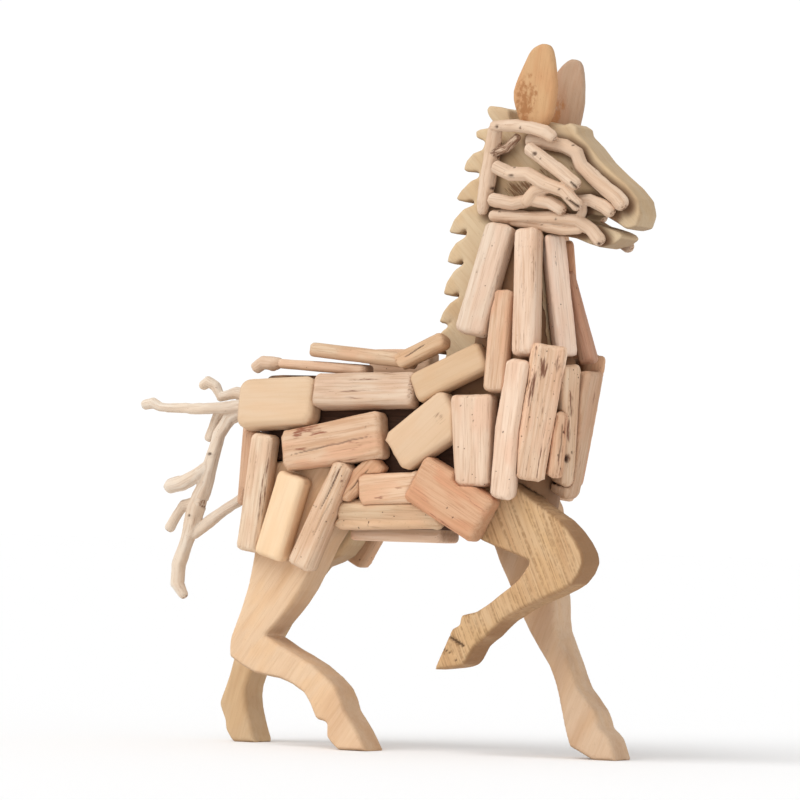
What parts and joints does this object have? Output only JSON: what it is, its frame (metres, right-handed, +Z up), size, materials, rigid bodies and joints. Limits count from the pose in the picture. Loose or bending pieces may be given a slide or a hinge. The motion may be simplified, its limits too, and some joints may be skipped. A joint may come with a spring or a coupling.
{
  "type": "horse sculpture",
  "caption": "Striding horse pieced together from weathered driftwood blocks, slats and twigs on sawn boards, with upright ears, a toothed mane and a branching tail.",
  "frame": {"origin": "on the floor, under the middle of the bounding box", "axes": "+X toward the nose, +Y the horse's left, +Z up"},
  "size_m": [0.515, 0.1446, 0.646],
  "materials": {
    "pale_wood": "smooth pale driftwood, matt",
    "warm_wood": "weathered orange-brown driftwood, matt",
    "pinkish_wood": "weathered pinkish driftwood, matt",
    "sawn_board": "sawn board with saw marks, matt",
    "peeled_twig": "peeled twigs, matt",
    "ear_wood": "mottled orange-brown wood, matt",
    "dark_carcass": "nearly black brown, matt"
  },
  "bodies": {
    "root": {"back_left_block": "pale_wood", "back_ridge_block": "pale_wood", "back_saddle_block": "warm_wood", "breast_block": "pinkish_wood", "head_and_mane_board": "sawn_board", "inner_body": "dark_carcass", "keel_block": "pinkish_wood", "left_back_front": "pale_wood", "left_back_rear": "warm_wood", "left_belly_block": "warm_wood", "left_cheek_twigs": "peeled_twig", "left_chest_edge": "pale_wood", "left_chest_middle": "pale_wood", "left_chest_rear": "pinkish_wood", "left_chest_shoulder": "warm_wood", "left_ear": "ear_wood", "left_flank_front": "pinkish_wood", "left_flank_rear": "pale_wood", "left_front_leg": "sawn_board", "left_hind_leg": "sawn_board", "left_hip_front": "pale_wood", "left_hip_rear": "pinkish_wood", "left_neck_edge": "warm_wood", "left_neck_middle": "pinkish_wood", "left_neck_rear": "pale_wood", "left_poll_twigs": "peeled_twig", "right_back_block": "warm_wood", "right_belly_front": "warm_wood", "right_belly_lower": "pale_wood", "right_belly_upper": "pale_wood", "right_cheek_fork": "peeled_twig", "right_cheek_twig": "peeled_twig", "right_chest_edge": "pinkish_wood", "right_chest_middle": "pale_wood", "right_chest_rear": "pale_wood", "right_chest_shoulder": "pinkish_wood", "right_chest_small": "warm_wood", "right_ear": "ear_wood", "right_flank_block": "pinkish_wood", "right_flank_small": "warm_wood", "right_front_leg": "sawn_board", "right_hind_leg": "sawn_board", "right_hip_front": "pinkish_wood", "right_hip_middle": "pale_wood", "right_hip_rear": "pinkish_wood", "right_jaw_twigs": "peeled_twig", "right_neck_edge": "pale_wood", "right_neck_front": "pinkish_wood", "right_neck_low": "pale_wood", "right_neck_middle": "warm_wood", "right_neck_rear": "pinkish_wood", "right_poll_twigs": "peeled_twig", "right_rib_block": "pale_wood", "right_rump_block": "pale_wood", "right_rump_edge_slat": "warm_wood", "right_rump_slat": "pinkish_wood", "right_shoulder_block": "pale_wood", "right_withers_block": "pinkish_wood", "rump_twig": "peeled_twig", "tail": "peeled_twig"}
  },
  "joints": []
}
